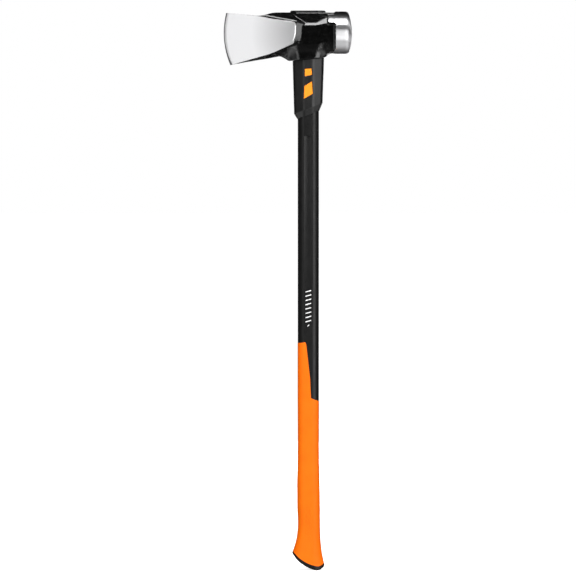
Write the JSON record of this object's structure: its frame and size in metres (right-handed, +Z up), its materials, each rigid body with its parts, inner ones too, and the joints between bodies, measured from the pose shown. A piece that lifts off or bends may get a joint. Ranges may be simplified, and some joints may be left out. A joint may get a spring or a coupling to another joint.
{
  "type": "splitting maul",
  "caption": "Two-handed splitting maul: forged steel wedge and round poll on a long oval composite handle with a moulded grip and a flared, hooked butt.",
  "frame": {"origin": "centre of the flat top of the eye cap, on the handle axis", "axes": "+Z up along the handle axis towards the head, -X towards the splitting edge, +X towards the striking face; symmetric about Y = 0"},
  "size_m": [0.2092, 0.0712, 0.9144],
  "materials": {
    "head_steel": "gloss",
    "ground_steel": "satin",
    "black_cap": "satin",
    "orange_elastomer": "satin",
    "black_collar": "satin",
    "fibre_core": "satin",
    "black_shell": "satin",
    "white_print": "satin",
    "orange_grip": "satin",
    "black_butt": "satin"
  },
  "bodies": {
    "root": {"maul_head": "head_steel", "top_cap": "black_cap", "insulation_sleeve": "orange_elastomer", "collar": "black_collar", "inner_core": "fibre_core", "handle_shell": "black_shell", "grip": "orange_grip", "butt_cap": "black_butt"}
  },
  "joints": []
}
